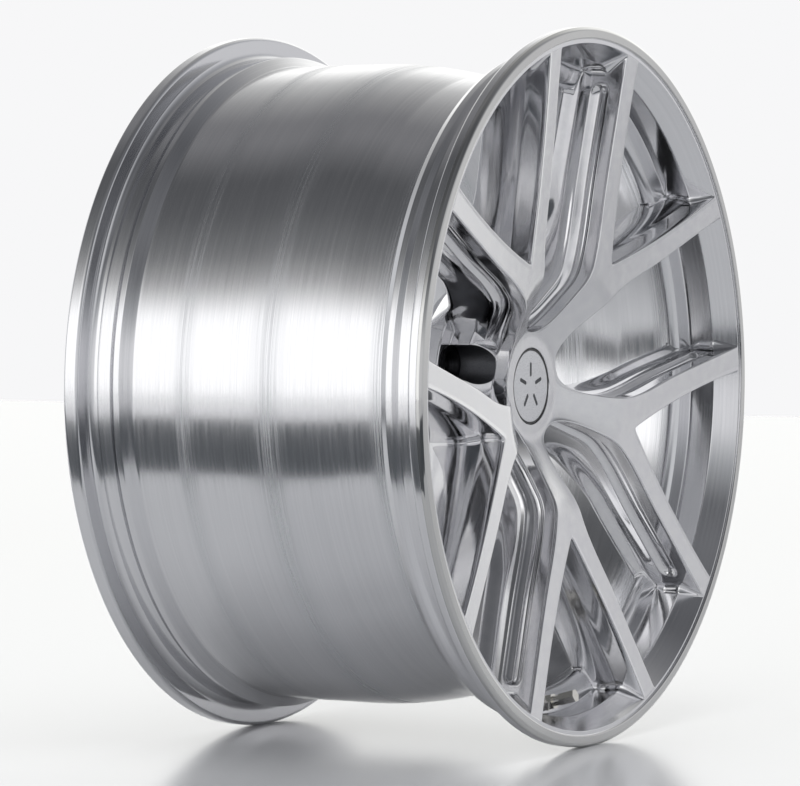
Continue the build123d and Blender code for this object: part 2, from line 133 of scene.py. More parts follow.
# The room's greys go round from the left (0 degrees) over the top (90) to the right (180).
back_greys = (
    (-180, "#F4F4F2"), (-150, "#D0D2D2"), (-31, "#B8BABC"), (-24, "#6C7076"), (-15, "#84888E"),
    (-10, "#FFFFFF"), (24, "#FFFFFF"), (30, "#D0D0D0"), (36, "#9A9A9A"), (46, "#6C6D6E"), (62, "#525355"),
    (78, "#4B4C4E"), (96, "#707072"), (108, "#6E6E70"), (122, "#8C8C8C"), (138, "#B4B4B3"), (152, "#F4F4F2"),
    (180, "#F6F6F4"),
)
front_greys = (
    (-180, "#C0C0C2"), (-150, "#C0C0C2"), (-31, "#A8AAAC"), (-10, "#B4B6B8"), (0, "#CACACC"),
    (16, "#CCCCCE"), (28, "#989A9C"), (44, "#5A5B5E"), (60, "#66676A"), (76, "#5C5D60"), (94, "#505154"),
    (112, "#6C6D70"), (135, "#8C8D90"), (152, "#A0A1A4"), (168, "#BCBCBE"), (180, "#C0C0C2"),
)
sides = []
for greys in (back_greys, front_greys):
    side_ramp = add(tree, "ShaderNodeValToRGB", links={0: turn.outputs[0]})
    stops = side_ramp.color_ramp.elements
    while len(stops) > 1:
        stops.remove(stops[-1])
    for index, (degrees, code) in enumerate(greys):
        place = (degrees + 180) / 360
        stop = stops[0] if index == 0 else stops.new(place)
        stop.position = place
        stop.color = linear(code)
    sides.append(side_ramp.outputs[0])
back_side, front_side = sides
# Along the axle the front greys run into the back ones, and both end in an even grey at either end.
depth = add(tree, "ShaderNodeMath", {"operation": "ABSOLUTE"}, links={0: parts.outputs["Y"]})
side = add(tree, "ShaderNodeMapRange", {"interpolation_type": "SMOOTHSTEP"}, {1: -0.42, 2: -0.08},
           {0: parts.outputs["Y"]})
ends = add(tree, "ShaderNodeMapRange", {"interpolation_type": "SMOOTHSTEP"}, {1: 0.76, 2: 0.97},
           {0: depth.outputs[0]})
room = add(tree, "ShaderNodeMix", {"data_type": "RGBA"},
           links={0: side.outputs[0], 6: front_side, 7: back_side})
closed = add(tree, "ShaderNodeMix", {"data_type": "RGBA"}, {7: linear("#BEBFC1")},
             {0: ends.outputs[0], 6: room.outputs[2]})
# Reflections see the room a little dimmer than it lights the wheel. The backdrop itself is plain and pale.
path = add(tree, "ShaderNodeLightPath")
power = add(tree, "ShaderNodeMapRange", values={3: 1.9, 4: 1.42}, links={0: path.outputs["Is Glossy Ray"]})
lit = add(tree, "ShaderNodeBackground", links={0: closed.outputs[2], 1: power.outputs[0]})
plain = add(tree, "ShaderNodeBackground", values={0: linear("#F7F7F8"), 1: 1.0})
seen = add(tree, "ShaderNodeMixShader",
           links={0: path.outputs["Is Camera Ray"], 1: lit.outputs[0], 2: plain.outputs[0]})
add(tree, "ShaderNodeOutputWorld", links={0: seen.outputs[0]})


def stage_plane(name, near_corner, far_corner, height, material):
    """A level rectangle that belongs to the studio."""
    mesh = bpy.data.meshes.new(name)
    (left_x, near_y), (right_x, far_y) = near_corner, far_corner
    outline = [(left_x, near_y), (right_x, near_y), (right_x, far_y), (left_x, far_y)]
    mesh.from_pydata([(x, y, height) for x, y in outline], [], [(0, 1, 2, 3)])
    plane = bpy.data.objects.new(name, mesh)
    bpy.context.scene.collection.objects.link(plane)
    mesh.materials.append(material)
    return plane


# Metres. The card lies to the left of the wheel, in the middle of the floor's length.
floor_end = 6.0
card_left, card_right = -1.55, -0.60
card_near, card_far = -3.0, 4.0
# Lacquered table top: pale, and glossy enough to carry a soft reflection of the wheel.
floor_paint, tree, shader = finish("lacquered_white_table", "#E6E7E9", 0.0, 0.16)
for name, near_corner, far_corner in (
    ("floor_left", (-floor_end, -floor_end), (card_left, floor_end)),
    ("floor_right", (card_right, -floor_end), (floor_end, floor_end)),
    ("floor_near", (card_left, -floor_end), (card_right, card_near)),
    ("floor_far", (card_left, card_far), (card_right, floor_end)),
):
    stage_plane(name, near_corner, far_corner, low.z, floor_paint)
# Polished metal looks through this strip of the floor to a grey card, which gives the barrel its dark band.
strip = stage_plane("floor_strip", (card_left, card_near), (card_right, card_far), low.z, floor_paint)
strip.visible_glossy = False
card_paint, tree, shader = finish("grey_card", "#4C5157", 0.0, 0.6)
card = stage_plane("grey_card", (card_left, card_near), (card_right, card_far), low.z - 2 * mm, card_paint)
card.visible_camera = False
card.visible_diffuse = False
card.visible_shadow = False

lamp = bpy.data.lights.new("overhead_softbox", "AREA")
lamp.size = 1.6
lamp.energy = 18
soft_box = bpy.data.objects.new("overhead_softbox", lamp)
bpy.context.scene.collection.objects.link(soft_box)
soft_box.location = Vector((-0.6, -0.4, 2.2))
soft_box.rotation_euler = (-soft_box.location).to_track_quat("-Z", "Y").to_euler()
soft_box.visible_glossy = False


# ------------------------------------------------------------------ finishes
def streaks(tree, length, width, detail=2.0):
    """Marks that run around the axle: length along the turn and width along the axle, in millimetres."""
    place = add(tree, "ShaderNodeTexCoord")
    scaled = add(tree, "ShaderNodeMapping",
                 values={"Scale": (1 / (length * mm), 1 / (width * mm), 1 / (length * mm))},
                 links={"Vector": place.outputs["Object"]})
    return add(tree, "ShaderNodeTexNoise", values={"Scale": 1.0, "Detail": detail, "Roughness": 0.6},
               links={"Vector": scaled.outputs[0]}).outputs[0]


def link_looks(tree, shader, rough, shade, colours, relief, height):
    """Links a shader's roughness, its colour between two, and its relief, height millimetres deep."""
    dark, bright = colours
    colour = add(tree, "ShaderNodeMix", {"data_type": "RGBA"}, {6: linear(dark), 7: linear(bright)},
                 {0: shade})
    bump = add(tree, "ShaderNodeBump", values={"Strength": 1.0, "Distance": height * mm},
               links={"Height": relief})
    tree.links.new(rough, shader.inputs["Roughness"])
    tree.links.new(colour.outputs[2], shader.inputs["Base Color"])
    tree.links.new(bump.outputs[0], shader.inputs["Normal"])


# The middle and half width, along the axle in millimetres, of the bands where the lathe's tool dwelt.
dwell_bands = ((-8, 16), (-98, 12), (62, 10))


def turned_aluminium():
    """Forged aluminium turned on a lathe, then buffed: the tool's feed leaves rings that blur
    reflections along the axle and keep them sharp around it, with bands where the tool dwelt."""
    material, tree, shader = finish("turned_and_buffed_aluminium", "#DCDCDE", 1.0, 0.13)
    shader.inputs["Anisotropic"].default_value = 0.7
    place = add(tree, "ShaderNodeTexCoord")
    parts = add(tree, "ShaderNodeSeparateXYZ", links={0: place.outputs["Object"]})
    back = add(tree, "ShaderNodeMath", {"operation": "MULTIPLY"}, {1: -1.0}, {0: parts.outputs["Z"]})
    around = add(tree, "ShaderNodeCombineXYZ", links={0: back.outputs[0], 2: parts.outputs["X"]})
    tree.links.new(around.outputs[0], shader.inputs["Tangent"])
    rings = streaks(tree, 420, 0.9)
    scuffs = streaks(tree, 60, 2.4, 4.0)
    dwell = None
    for middle, half_width in dwell_bands:
        away = add(tree, "ShaderNodeMath", {"operation": "SUBTRACT"}, {1: middle * mm},
                   {0: parts.outputs["Y"]})
        off = add(tree, "ShaderNodeMath", {"operation": "ABSOLUTE"}, links={0: away.outputs[0]})
        band = add(tree, "ShaderNodeMapRange", links={0: off.outputs[0]},
                   values={1: 0.3 * half_width * mm, 2: half_width * mm, 3: 1.0, 4: 0.0})
        if dwell is not None:
            band = add(tree, "ShaderNodeMath", {"operation": "MAXIMUM"},
                       links={0: dwell.outputs[0], 1: band.outputs[0]})
        dwell = band
    ring_wear = add(tree, "ShaderNodeMapRange", values={1: 0.35, 2: 0.65}, links={0: rings})
    worn = add(tree, "ShaderNodeMath", {"operation": "MULTIPLY"},
               links={0: dwell.outputs[0], 1: ring_wear.outputs[0]})
    buffed = add(tree, "ShaderNodeMapRange", values={1: 0.35, 2: 0.7, 3: 0.10, 4: 0.17}, links={0: scuffs})
    rough = add(tree, "ShaderNodeMath", {"operation": "MULTIPLY_ADD"}, {1: 0.16},
                {0: worn.outputs[0], 2: buffed.outputs[0]})
    ring_shade = add(tree, "ShaderNodeMapRange", values={1: 0.3, 2: 0.7, 3: 0.72, 4: 1.0}, links={0: rings})
    shade = add(tree, "ShaderNodeMath", {"operation": "MULTIPLY_ADD"}, {1: -0.55},
                {0: worn.outputs[0], 2: ring_shade.outputs[0]})
    link_looks(tree, shader, rough.outputs[0], shade.outputs[0], ("#C2C4C8", "#E2E2E4"), rings, 0.002)
    return material


def milled_aluminium():
    """Forged aluminium milled and hand polished: bright, with the faint waves that a mop leaves.
    The turned faces are left a little satin by a fine belt."""
    material, tree, shader = finish("milled_and_polished_aluminium", "#DCDCDE", 1.0, 0.1)
    turned_face = add(tree, "ShaderNodeAttribute", {"attribute_name": "turned_face"})
    passes = streaks(tree, 46, 1.3)
    cloud = streaks(tree, 9, 9, 3.0)
    wall = add(tree, "ShaderNodeMapRange", values={1: 0.3, 2: 0.7, 3: 0.06, 4: 0.12}, links={0: passes})
    face = add(tree, "ShaderNodeMapRange", values={1: 0.3, 2: 0.7, 3: 0.2, 4: 0.26}, links={0: cloud})
    rough = add(tree, "ShaderNodeMix",
                links={0: turned_face.outputs["Fac"], 2: wall.outputs[0], 3: face.outputs[0]})
    shade = add(tree, "ShaderNodeMapRange", values={1: 0.25, 2: 0.75}, links={0: cloud})
    link_looks(tree, shader, rough.outputs[0], shade.outputs[0], ("#D6D6D9", "#E0E0E1"), passes, 0.006)
    return material


def surface(name, metallic, colours, rough, marks, height):
    """An even finish: its two colours, its range of roughness, and its marks' length, width and detail."""
    material, tree, shader = finish(name, colours[1], metallic, rough[0])
    pattern = streaks(tree, *marks)
    spread = add(tree, "ShaderNodeMapRange", values={1: 0.3, 2: 0.7, 3: rough[0], 4: rough[1]},
                 links={0: pattern})
    shade = add(tree, "ShaderNodeMapRange", values={1: 0.3, 2: 0.7}, links={0: pattern})
    link_looks(tree, shader, spread.outputs[0], shade.outputs[0], colours, pattern, height)
    return material


turned_metal = turned_aluminium()
milled_metal = milled_aluminium()
# Forged aluminium in the wells and on the pad: coloured dark grey, and matt.
dark_matt_metal = surface("dark_matt_aluminium", 1.0, ("#5E5F62", "#75767A"), (0.36, 0.5), (0.8, 0.8, 3.0), 0.03)
# Polished stainless strip: a touch warmer than the aluminium, with sharp highlights.
stainless = surface("polished_stainless_strip", 1.0, ("#C0C0C0", "#D0D0CE"), (0.05, 0.1), (300, 0.7), 0.002)
# Black oxide on turned steel: near black with a dull metal sheen.
oxide = surface("black_oxide_steel", 1.0, ("#1E1E20", "#2C2C2E"), (0.3, 0.42), (8, 0.5), 0.004)
# Satin anodised plate: an even silver that spreads highlights.
anodised = surface("satin_anodised_aluminium", 1.0, ("#D2D3D6", "#D9DADC"), (0.26, 0.31), (0.8, 0.8), 0.0005)
# Drawn spring wire: grey with fine lines.
wire = surface("drawn_spring_steel", 1.0, ("#8A8A8C", "#A4A4A6"), (0.22, 0.32), (20, 0.3), 0.003)
# Bright nickel plate over brass: mirror-like and slightly warm.
nickel = surface("bright_nickel_plate", 1.0, ("#D2D0CA", "#DCDAD4"), (0.05, 0.1), (5, 0.6), 0.002)
# Turned brass: yellow with fine tool rings.
brass = surface("turned_brass", 1.0, ("#B8944A", "#CBA85E"), (0.2, 0.28), (5, 0.3), 0.003)
# Gloss black moulded ABS: deep black with a slight orange peel.
black = surface("gloss_black_abs", 0.0, ("#08080A", "#0E0E10"), (0.06, 0.1), (1.6, 1.6, 3.0), 0.004)
# Paint wiped into the sunk mark: flat dark grey.
fill_paint = surface("wiped_fill_paint", 0.0, ("#3A3C40", "#45474B"), (0.4, 0.55), (0.6, 0.6, 3.0), 0.01)
# Moulded nitrile rubber: matt black.
rubber = surface("moulded_nitrile_rubber", 0.0, ("#121212", "#1B1B1B"), (0.5, 0.65), (0.5, 0.5, 3.0), 0.01)
looks = {
    "polished_forging": milled_metal, "stainless_ring": stainless, "seat_steel": oxide, "cap_black": black,
    "emblem_silver": anodised, "mark_grey": fill_paint, "spring_steel": wire, "centring_alloy": anodised,
    "valve_nickel": nickel, "valve_brass": brass, "seal_rubber": rubber,
}


# ------------------------------------------------------------------ curves and turned shapes, in millimetres
def smooth_curve(points, samples=3000):
    """A curve through the points whose bending never jumps, as many evenly spaced points."""
    points = np.array(points, float)
    steps = np.linalg.norm(np.diff(points, axis=0), axis=1)
    knots = np.concatenate(([0.0], np.cumsum(steps)))
    system = np.eye(len(points))
    pull = np.zeros_like(points)
    for n in range(1, len(points) - 1):
        system[n, n - 1:n + 2] = steps[n - 1], 2 * (steps[n - 1] + steps[n]), steps[n]
        ahead = (points[n + 1] - points[n]) / steps[n]
        behind = (points[n] - points[n - 1]) / steps[n - 1]
        pull[n] = 6 * (ahead - behind)
    bend = np.linalg.solve(system, pull)
    place = np.linspace(0, knots[-1], samples)
    span = np.clip(np.searchsorted(knots, place, side="right") - 1, 0, len(steps) - 1)
    width = steps[span][:, None]
    after = (place - knots[span])[:, None] / width
    before = 1 - after
    line = before * points[span] + after * points[span + 1]
    bow = (before ** 3 - before) * bend[span] + (after ** 3 - after) * bend[span + 1]
    return line + width ** 2 / 6 * bow


class Edge:
    """An edge of a spoke seen along the axle: places along it, and the way out into the window."""

    def __init__(self, points):
        steps = np.linalg.norm(np.diff(points, axis=0), axis=1)
        self.run = np.concatenate(([0.0], np.cumsum(steps)))
        self.points = points
        along = np.gradient(points, self.run, axis=0)
        along /= np.linalg.norm(along, axis=1)[:, None]
        self.out = np.stack((-along[:, 1], along[:, 0]), axis=1)
        self.radius = np.hypot(points[:, 0], points[:, 1])

    def at(self, run, values):
        """Values of the edge at places that lie run millimetres along it."""
        return np.stack([np.interp(run, self.run, values[:, k]) for k in range(2)], axis=-1)

    def moved(self, run, out, shift=0.0):
        """Places along the edge, moved out into the window and shifted along the spoke."""
        place = self.at(run, self.points) + self.at(run, self.out) * np.asarray(out)[..., None]
        place[..., 0] += shift
        return place


def softened(radius, places, heights, half_width):
    """A line of straight lengths with its bends rounded over half_width each way."""
    total = 0
    for share in np.linspace(-1, 1, 15):
        total = total + np.interp(radius + share * half_width, places, heights)
    return total / 15


def rounded(outline, step=9.0, support=0.5):
    """A closed outline of (radius, y, bend) corners with each corner turned into an arc."""
    result = []
    count = len(outline)
    for n in range(count):
        before, here, after = (np.array(outline[(n + k) % count][:2], float) for k in (-1, 0, 1))
        bend = outline[n][2]
        into = (before - here) / np.linalg.norm(before - here)
        away = (after - here) / np.linalg.norm(after - here)
        half = math.acos(max(-1.0, min(1.0, float(into @ away)))) / 2
        if bend == 0 or half > math.radians(89.5):
            result.append(here)
            continue
        reach = bend / math.tan(half)
        centre = here + (into + away) / np.linalg.norm(into + away) * bend / math.sin(half)
        start, end = here + into * reach, here + away * reach
        first = math.atan2(*(start - centre)[::-1])
        sweep = math.atan2(*(end - centre)[::-1]) - first
        sweep = (sweep + math.pi) % (2 * math.pi) - math.pi
        pieces = max(2, math.ceil(abs(math.degrees(sweep)) / step))
        if np.linalg.norm(before - start) > 2 * support:
            result.append(start + into * support)
        for k in range(pieces + 1):
            angle = first + sweep * k / pieces
            result.append(centre + bend * np.array((math.cos(angle), math.sin(angle))))
        if np.linalg.norm(after - end) > 2 * support:
            result.append(end + away * support)
    return np.array(result)


def new_piece(name, vertices, faces, material, turned_face=None):
    """A mesh object at the origin, from points in millimetres. turned_face marks a satin face's points."""
    mesh = bpy.data.meshes.new(name)
    mesh.from_pydata((np.asarray(vertices) * mm).tolist(), [], faces)
    if turned_face is not None:
        mesh.attributes.new("turned_face", "FLOAT", "POINT").data.foreach_set("value", turned_face)
    mesh.materials.append(material)
    piece = bpy.data.objects.new(name, mesh)
    bpy.context.scene.collection.objects.link(piece)
    tidy_mesh(mesh)
    return piece


def tidy_mesh(mesh):
    """Joins doubled points, closes pinholes and turns every face outwards."""
    work = bmesh.new()
    work.from_mesh(mesh)
    bmesh.ops.remove_doubles(work, verts=work.verts, dist=0.002 * mm)
    bmesh.ops.holes_fill(work, edges=[edge for edge in work.edges if edge.is_boundary], sides=4)
    bmesh.ops.recalc_face_normals(work, faces=work.faces)
    work.to_mesh(mesh)
    work.free()
    mesh.polygons.foreach_set("use_smooth", [True] * len(mesh.polygons))


def turned(name, outline, segments, material):
    """A closed outline of (radius, y) turned about the axle."""
    outline = np.asarray(outline)
    count = len(outline)
    angles = np.linspace(0, 2 * math.pi, segments, endpoint=False)
    vertices = [(r * math.cos(a), y, r * math.sin(a)) for a in angles for r, y in outline]
    faces = []
    for s in range(segments):
        for k in range(count):
            a, b = s * count, (s + 1) % segments * count
            faces.append((a + k, a + (k + 1) % count, b + (k + 1) % count, b + k))
    return new_piece(name, vertices, faces, material)


# ------------------------------------------------------------------ sizes of the forging
flange_radius = 273.9
seat_radius = 256.4
seat_taper = math.tan(math.radians(5))
rear, front = high.y / mm, low.y / mm
rear_seat, front_seat = rear - 12.5, front + 12.5
hump_inset, hump_width, hump_rise = 21.5, 4.5, 2.6
barrel_radius, well_radius, wall = 250.0, 238.0, 4.5
well_inner = well_radius - wall
lip_radius, mouth_radius, lip_ring_radius = 251.5, 261.8, 264.8
lip_floor, mouth_y = front + 19.0, front + 1.6
step_y = front_seat + 27.75
step_slope = math.tan(math.radians(16))
step_wall = wall / math.cos(math.radians(16))
step_foot_y = step_y + (lip_radius - well_inner) * step_slope
well_front = step_y + (lip_radius - well_radius) * step_slope + step_wall
well_rear = well_front + 43.5
barrel_start = well_rear + 80.0
seat_end_radius = seat_radius - (hump_inset - hump_width) * seat_taper
hump_radius = seat_end_radius + hump_rise
step_head_y = step_y - (seat_end_radius - lip_radius) * step_slope + step_wall

hub_face = -96.0
hub_flat_radius, valley_radius = 42.0, 92.0
valley_depth, spoke_rise = 32.0, 54.6
pad_radius, pad_front, pad_back = 77.0, -54.0, -35.0
seat_bore = 29.6
bore_end = -45.0
spoke_count = 5
half_pitch = math.pi / spoke_count
bolt_circle = 57.15
lug_well_radius, insert_radius, bolt_hole_radius, pad_recess_radius = 15.0, 12.5, 7.5, 9.0
rim_segments, protector_segments, hub_segments, hole_segments = 300, 320, 180, 64
window_side = (
    (42.0, 0.0), (44.2, 11.5), (52.0, 21.5), (65.0, 30.0), (84.0, 39.0),
    (110.0, 45.2), (150.0, 47.3), (200.0, 51.0), (268.0, 56.5),
)
fork_radius, fork_corner = 115.0, 2.2
fork_middle, fork_end = (178.0, 46.0), (268.0, 98.0)
channel_radius, channel_stand, channel_depth = 8.0, 3.0, 19.0
channel_start, channel_end = 50.0, 232.0
# Where the window's edge leaves the hub, and where a spoke splits into its two limbs.
root_radius, limb_radius = 40.0, 104.0


def face_y(radius):
    """The turned face: flat round the hub, down into a shallow valley and out to the lip."""
    return softened(radius, (0, hub_flat_radius, valley_radius, mouth_radius),
                    (hub_face, hub_face, hub_face - valley_depth, hub_face - spoke_rise),
                    np.interp(radius, (hub_flat_radius, valley_radius, 200), (3.5, 9.0, 0.5)))


def back_y(radius):
    """The back of the spokes."""
    return softened(radius, (0, 76, 84, 100, 150, 235, 300), (-45, -37, -46, -66, -86, -99, -101), 5.0)


def rim_inside(y):
    """The radius of the inside of the rim behind the flange, at a place along the axle."""
    return np.interp(y, (mouth_y, lip_floor, step_y, step_foot_y, 0),
                     (mouth_radius, lip_radius, lip_radius, well_inner, well_inner))


# ------------------------------------------------------------------ edges of one half of a spoke
def window_edge():
    """From the window's root at the hub out to the rim, turned into the spoke's own frame."""
    side = [(x, -w) for x, w in reversed(window_side[1:])] + list(window_side)
    line = smooth_curve(side, 6001)[3000:]
    x, w = line[:, 0], line[:, 1]
    u = x * math.cos(half_pitch) + w * math.sin(half_pitch)
    v = x * math.sin(half_pitch) - w * math.cos(half_pitch)
    return Edge(np.stack((u, v), axis=1))


def fork_edge():
    """From the fork's rounded point out to the rim: a small corner, then one long arc."""
    places = np.array(((fork_radius, 0.0), fork_middle, fork_end))
    centre_u, centre_v = np.linalg.solve(2 * np.diff(places, axis=0), np.diff((places ** 2).sum(axis=1)))
    size = math.hypot(fork_radius - centre_u, centre_v)
    # The corner touches both arcs from inside the window, on the spoke's middle plane.
    corner_u = centre_u - math.sqrt((size - fork_corner) ** 2 - centre_v ** 2)
    start = math.atan2(-centre_v, corner_u - centre_u)
    touch_u = centre_u + size * math.cos(start)
    touch_v = centre_v + size * math.sin(start)
    turn = np.linspace(math.pi, math.atan2(touch_v, touch_u - corner_u), 60)
    tip = np.stack((corner_u + fork_corner * np.cos(turn), fork_corner * np.sin(turn)), axis=1)
    stop = math.atan2(fork_end[1] - centre_v, fork_end[0] - centre_u)
    along = np.linspace(start, stop, 3000)[1:]
    side = np.stack((centre_u + size * np.cos(along), centre_v + size * np.sin(along)), axis=1)
    return Edge(np.concatenate((tip, side)))


# ------------------------------------------------------------------ one spoke, milled
# Each row of a wall is (depth behind the face, how far it stands out into the window).
window_wall = (
    (0, -0.7), (0.25, -0.2), (0.8, 0.05), (3, 0.15), (6, 0.32), (9, 0.48), (10.6, 0.55), (11.4, 0.6),
    (12.2, 0.64), (13.2, 0.7), (14.6, 0.76), (16.5, 0.86), (19, 1.0), (21.5, 1.1), (23.4, 1.2), (24.8, 1.27),
    (25.8, 1.33), (26.6, 1.38), (27.6, 1.42), (28.6, 1.3), (30, 0.95), (33, 0.6), (35.5, 0.78), (37, 1.0),
    (38.2, 1.4), (39.6, 1.95), (41, 2.6), (42.3, 3.4), (44, 4.7), (46, 6.2), (48.5, 8.0), (50.0, 8.6),
    (50.9, 8.4), (51.3, 7.5),
)
fork_wall = (
    (0, -0.7), (0.25, -0.2), (0.8, 0.05), (5, 0.3), (10, 0.55), (15, 0.8), (18.4, 1.0), (19.6, 1.25),
    (22, 2.2), (26, 3.6), (31, 4.9), (35.5, 5.75), (37.2, 6.03), (38.6, 6.25), (40, 6.5), (41.5, 6.7),
    (43, 6.9), (48, 7.5), (50.2, 7.6), (51, 7.3), (51.3, 6.6),
)
wall_depth, stretch_from = 51.3, 37.0
arc_steps, trunk_steps, limb_steps = 20, 44, 84
face_shares = (0.0, 0.03, 0.18, 0.36, 0.5, 0.64, 0.82, 0.97, 1.0)


def actual_depth(row, radius):
    """The lower part of a wall stretches or shrinks to reach the spoke's back."""
    full = back_y(radius) - face_y(radius)
    low_part = stretch_from + (row - stretch_from) * (full - stretch_from) / (wall_depth - stretch_from)
    return np.where(row <= stretch_from, row, low_part)


def ease(value):
    """Rises smoothly from 0 to 1."""
    value = np.clip(value, 0, 1)
    return value * value * (3 - 2 * value)


def rim_fillet(radius, y):
    """How far the wall swings out where it runs into the inside of the rim."""
    size = np.interp(y, (mouth_y, mouth_y + 4, mouth_y + 16, step_y - 7, step_y), (1.0, 2.5, 7.0, 6.0, 2.0))
    reach = np.clip(radius - (rim_inside(y) - size), 0, size)
    return size - np.sqrt(size * size - reach * reach)


def sunk(y):
    """How deep a limb's end sits in the rim's metal."""
    return np.interp(y, (mouth_y, mouth_y + 2.0, step_y - 4.0, step_y), (0.4, 1.0, 1.2, 2.6))


def limb_row(edge, start, line, y):
    """Evenly eased places along one row of a limb, from the fork to just inside the rim's metal."""
    past = (np.hypot(line[:, 0], line[:, 1]) >= rim_inside(y) + sunk(y)) & (edge.run > start)
    share = np.linspace(0, 1, limb_steps + 1)[1:]
    return start + (edge.run[np.argmax(past)] - start) * (1 - (1 - share) ** 1.25)


def milled_row(edge, runs, start, row, swing, shift, fillet_side):
    """One row of a wall: swing gives how far it stands out sideways, shift how far along the spoke."""
    depth = actual_depth(row, edge.radius)
    y = face_y(edge.radius) + depth
    move = swing(edge.radius)
    line = edge.moved(edge.run, move, shift)
    line = edge.moved(edge.run, move + fillet_side * rim_fillet(np.hypot(line[:, 0], line[:, 1]), y), shift)
    run = np.concatenate((runs, limb_row(edge, start, line, y)))
    return np.stack([np.interp(run, edge.run, values) for values in (line[:, 0], line[:, 1], y)], axis=1)


def half_spoke():
    """Points of half a spoke as strips across it: face, window wall, back and inner wall."""
    outer, fork = window_edge(), fork_edge()
    root_run, fork_run = np.interp((root_radius, limb_radius), outer.points[:, 0], outer.run)
    hub_runs = np.concatenate((np.linspace(0, root_run, arc_steps + 1),
                               np.linspace(root_run, fork_run, trunk_steps + 1)[1:]))

    def window_swing(row, out):
        """How far a row stands out into the window, less the channel that a ball-ended cutter leaves."""
        def swing(radius):
            beyond = np.maximum(0, np.maximum(channel_start - radius, radius - channel_end))
            hollow = channel_radius ** 2 - (row - channel_depth) ** 2 - beyond ** 2
            hollow = np.sqrt(np.maximum(0, hollow)) - channel_stand
            hollow = (hollow + np.sqrt(hollow ** 2 + 0.04)) / 2 * (row > 5)
            return out * (1.0 if row <= 1 else ease((radius - 52) / 30)) - hollow
        return swing

    window_rows = np.stack([
        milled_row(outer, hub_runs, fork_run, row, window_swing(row, out), 0, 1) for row, out in window_wall
    ], axis=1)

    # The fork's window shrinks with depth by sliding its whole edge out along the spoke.
    slope = math.atan2(fork_middle[1], fork_middle[0] - fork_radius)
    fork_rows = np.stack([
        milled_row(fork, [0.0], 0.0, row, lambda radius: 0 * radius, out / math.sin(slope), -1)
        for row, out in fork_wall
    ], axis=1)

    sweep = np.linspace(half_pitch, 0, arc_steps + 1)
    bore_steps = (
        (0.5, hub_face), (0.15, hub_face + 0.12), (0.0, hub_face + 0.5), (0.0, hub_face + 3.0),
        (0.0, bore_end),
    )
    circle = np.stack((np.cos(sweep), np.sin(sweep), 0 * sweep), axis=1)
    bore_rows = np.stack([circle * (seat_bore + out) + (0, 0, y) for out, y in bore_steps], axis=1)

    def on_the_rim(row):
        """Carries a row across a limb's end out to the circle that its two ends lie on."""
        radius = np.hypot(row[:, 0], row[:, 1])
        wanted = np.interp(np.arange(len(row)), (0, len(row) - 1), (radius[0], radius[-1]))
        return row * np.stack((wanted / radius, wanted / radius, wanted * 0 + 1), axis=1)

    def middle_line(start, end, height):
        """Places between two radii on the spoke's middle plane, without its ends."""
        u = np.linspace(start, end, trunk_steps + 1)
        return np.column_stack((u, u * 0, height(u)))[1:-1]

    top = np.concatenate((bore_rows[:, 0], middle_line(seat_bore + 0.5, fork_rows[0, 0, 0], face_y),
                          fork_rows[:, 0]))
    bottom = np.concatenate((bore_rows[:, -1], middle_line(seat_bore, fork_rows[0, -1, 0], back_y),
                             fork_rows[:, -1]))
    shares = np.array(face_shares)[None, :, None]
    face = top[:, None] * (1 - shares) + window_rows[:, :1] * shares
    face[-1] = on_the_rim(face[-1])
    face[..., 2] = face_y(np.hypot(face[..., 0], face[..., 1]))
    face[:, 0], face[:, -1] = top, window_rows[:, 0]
    back = window_rows[:, -1:] * (1 - shares) + bottom[:, None] * shares
    back[-1] = on_the_rim(back[-1])
    fit = back_y(np.hypot(back[..., 0], back[..., 1]))
    ends = back[..., 2] - fit
    back[..., 2] = fit + ends[:, :1] * (1 - shares[..., 0]) + ends[:, -1:] * shares[..., 0]
    back[:, 0], back[:, -1] = window_rows[:, -1], bottom
    return face, window_rows, back, bore_rows, fork_rows


def spoke_mesh():
    """Both halves of a spoke, out along +X, as points, faces and the points that lie on the turned face."""
    strips = half_spoke()
    face = strips[0]
    points, faces, lookup, marks = [], [], {}, []

    def number(point, mark):
        key = tuple(np.round(point, 3))
        if key not in lookup:
            lookup[key] = len(points)
            points.append((point[0], point[2], point[1]))
            marks.append(mark)
        return lookup[key]

    for side in (1, -1):
        flip = np.array((1, side, 1))
        grids = []
        for strip in strips:
            mark = 1.0 if strip is face else 0.0
            grid = [[number(point * flip, mark) for point in row] for row in strip]
            grids.append(grid)
            for low_row, high_row in zip(grid, grid[1:]):
                for k in range(len(low_row) - 1):
                    quad = tuple(dict.fromkeys((low_row[k], high_row[k], high_row[k + 1], low_row[k + 1])))
                    if len(quad) > 2:
                        faces.append(quad if side > 0 else quad[::-1])
        # The buried end is closed by triangles that step down the limb's two walls together.
        window_end, fork_end = grids[1][-1], grids[4][-1]
        closing = [grids[0][-1], grids[2][-1]]
        w = f = 0
        while w < len(window_end) - 1 or f < len(fork_end) - 1:
            window_next = points[window_end[w + 1]][1] if w < len(window_end) - 1 else math.inf
            fork_next = points[fork_end[f + 1]][1] if f < len(fork_end) - 1 else math.inf
            if window_next <= fork_next:
                closing.append((fork_end[f], window_end[w], window_end[w + 1]))
                w += 1
            else:
                closing.append((fork_end[f], window_end[w], fork_end[f + 1]))
                f += 1
        faces.extend(tuple(loop) if side > 0 else tuple(loop[::-1]) for loop in closing)
    return points, faces, marks


